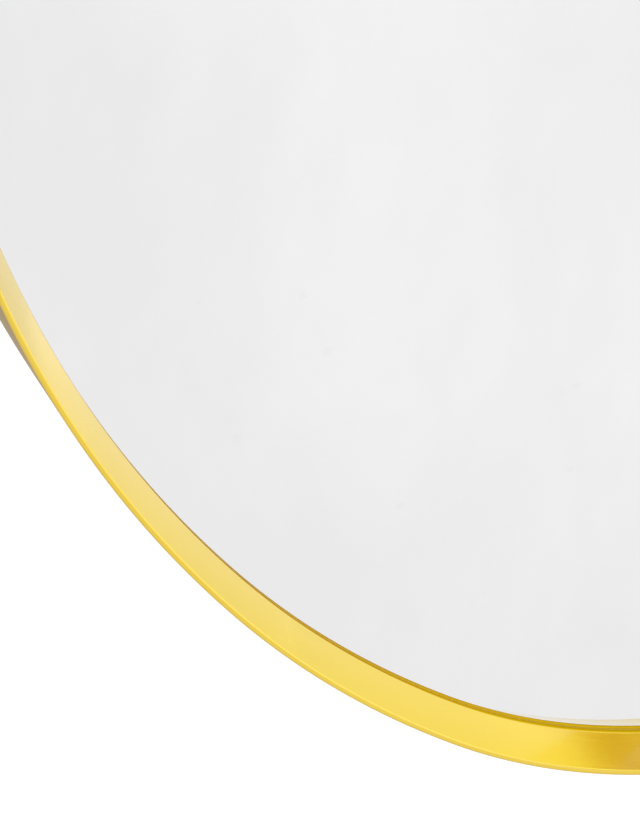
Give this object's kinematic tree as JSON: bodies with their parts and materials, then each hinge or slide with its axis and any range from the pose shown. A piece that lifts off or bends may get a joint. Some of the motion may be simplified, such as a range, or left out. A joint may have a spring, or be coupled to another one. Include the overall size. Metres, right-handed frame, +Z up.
{
  "type": "oval wall mirror",
  "caption": "Oval wall mirror in a deep, gold-coloured metal frame with a sloped inner face, backing board and swinging D-ring hangers.",
  "frame": {"origin": "the middle of the oval, on the wall plane that the bumpers touch", "axes": "+Z up the oval's long axis, +Y into the wall, so the glass faces -Y and +X is to the viewer's right"},
  "size_m": [0.61, 0.0332, 0.9139],
  "materials": {
    "gold_frame": "satin gold anodised, fine brushed grain along the frame",
    "splice_metal": "mill finish",
    "black_screw": "black oxide",
    "glazing_foam": "closed-cell foam",
    "mirror": "silvered float glass",
    "film": "thin film",
    "white_foam": "foam tape",
    "board": "bare fibreboard",
    "zinc_screw": "zinc plated",
    "clip_steel": "zinc plated sheet",
    "strap_steel": "nickel plated sheet",
    "ring_steel": "nickel plated wire",
    "bumper_rubber": "matt moulded rubber"
  },
  "bodies": {
    "mirror": {"frame": "gold_frame", "splice_key": "splice_metal", "splice_screws": "black_screw", "glazing_tape": "glazing_foam", "mirror_glass": "mirror", "safety_film": "film", "mounting_tape": "white_foam", "backing_board": "board", "retainer_clip_1": "clip_steel", "retainer_clip_2": "clip_steel", "retainer_clip_3": "clip_steel", "retainer_clip_4": "clip_steel", "retainer_clip_5": "clip_steel", "retainer_clip_6": "clip_steel", "retainer_clip_7": "clip_steel", "retainer_clip_8": "clip_steel", "clip_screws": "zinc_screw", "strap_upper_left": "strap_steel", "strap_upper_right": "strap_steel", "strap_side_top": "strap_steel", "strap_side_bottom": "strap_steel", "hanger_screws": "zinc_screw", "wall_bumper_1": "bumper_rubber", "wall_bumper_2": "bumper_rubber", "wall_bumper_3": "bumper_rubber", "wall_bumper_4": "bumper_rubber"},
    "ring_upper_left_body": {"ring_upper_left": "ring_steel"},
    "ring_upper_right_body": {"ring_upper_right": "ring_steel"},
    "ring_side_top_body": {"ring_side_top": "ring_steel"},
    "ring_side_bottom_body": {"ring_side_bottom": "ring_steel"}
  },
  "joints": [
    {"name": "ring_upper_left_swing", "type": "hinge", "parent": "mirror", "child": "ring_upper_left_body", "pos_m": [-0.17, -0.0053, 0.25], "axis": [1, 0, 0], "range_deg": [0, 180]},
    {"name": "ring_upper_right_swing", "type": "hinge", "parent": "mirror", "child": "ring_upper_right_body", "pos_m": [0.17, -0.0053, 0.25], "axis": [1, 0, 0], "range_deg": [0, 180]},
    {"name": "ring_side_top_swing", "type": "hinge", "parent": "mirror", "child": "ring_side_top_body", "pos_m": [0.215, -0.0053, 0.13], "axis": [0, 0, -1], "range_deg": [0, 180]},
    {"name": "ring_side_bottom_swing", "type": "hinge", "parent": "mirror", "child": "ring_side_bottom_body", "pos_m": [0.215, -0.0053, -0.13], "axis": [0, 0, -1], "range_deg": [0, 180]}
  ]
}
